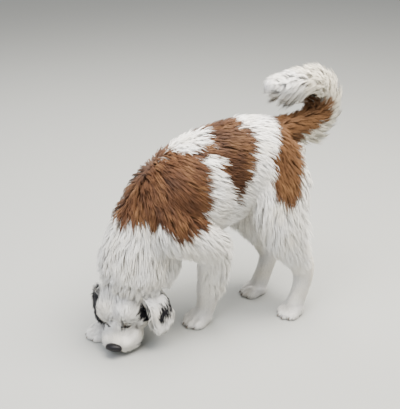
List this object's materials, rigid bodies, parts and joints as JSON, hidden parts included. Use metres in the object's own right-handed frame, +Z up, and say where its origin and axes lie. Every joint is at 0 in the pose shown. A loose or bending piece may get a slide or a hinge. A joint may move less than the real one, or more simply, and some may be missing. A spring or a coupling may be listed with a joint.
{
  "type": "saint bernard dog",
  "caption": "Life-size still model of a long-haired young Saint Bernard walking slowly with its nose to the ground and its plumed tail curled over its rump.",
  "frame": {"origin": "on the floor, under the middle of the whole dog's box", "axes": "-X is the way the dog faces, -Y is its left side, +Z is up"},
  "size_m": [0.8822, 0.3827, 0.8338],
  "materials": {
    "white_coat": "long soft coat, white",
    "brown_and_white_coat": "long soft coat, russet brown patches on white",
    "black_and_white_coat": "silky ear coat, black patches on white",
    "nose_leather": "moist pebbled black leather",
    "eye": "wet dark brown",
    "claw": "horn, dull sheen"
  },
  "bodies": {
    "root": {"head": "white_coat", "neck": "brown_and_white_coat", "torso": "brown_and_white_coat", "tail_root": "brown_and_white_coat", "tail_middle": "white_coat", "tail_tip": "white_coat", "foreleg_left": "brown_and_white_coat", "foreleg_right": "white_coat", "hindleg_left": "brown_and_white_coat", "hindleg_right": "brown_and_white_coat", "ear_left": "black_and_white_coat", "ear_right": "black_and_white_coat", "eye_left": "eye", "eye_right": "eye", "nose": "nose_leather"}
  },
  "joints": []
}
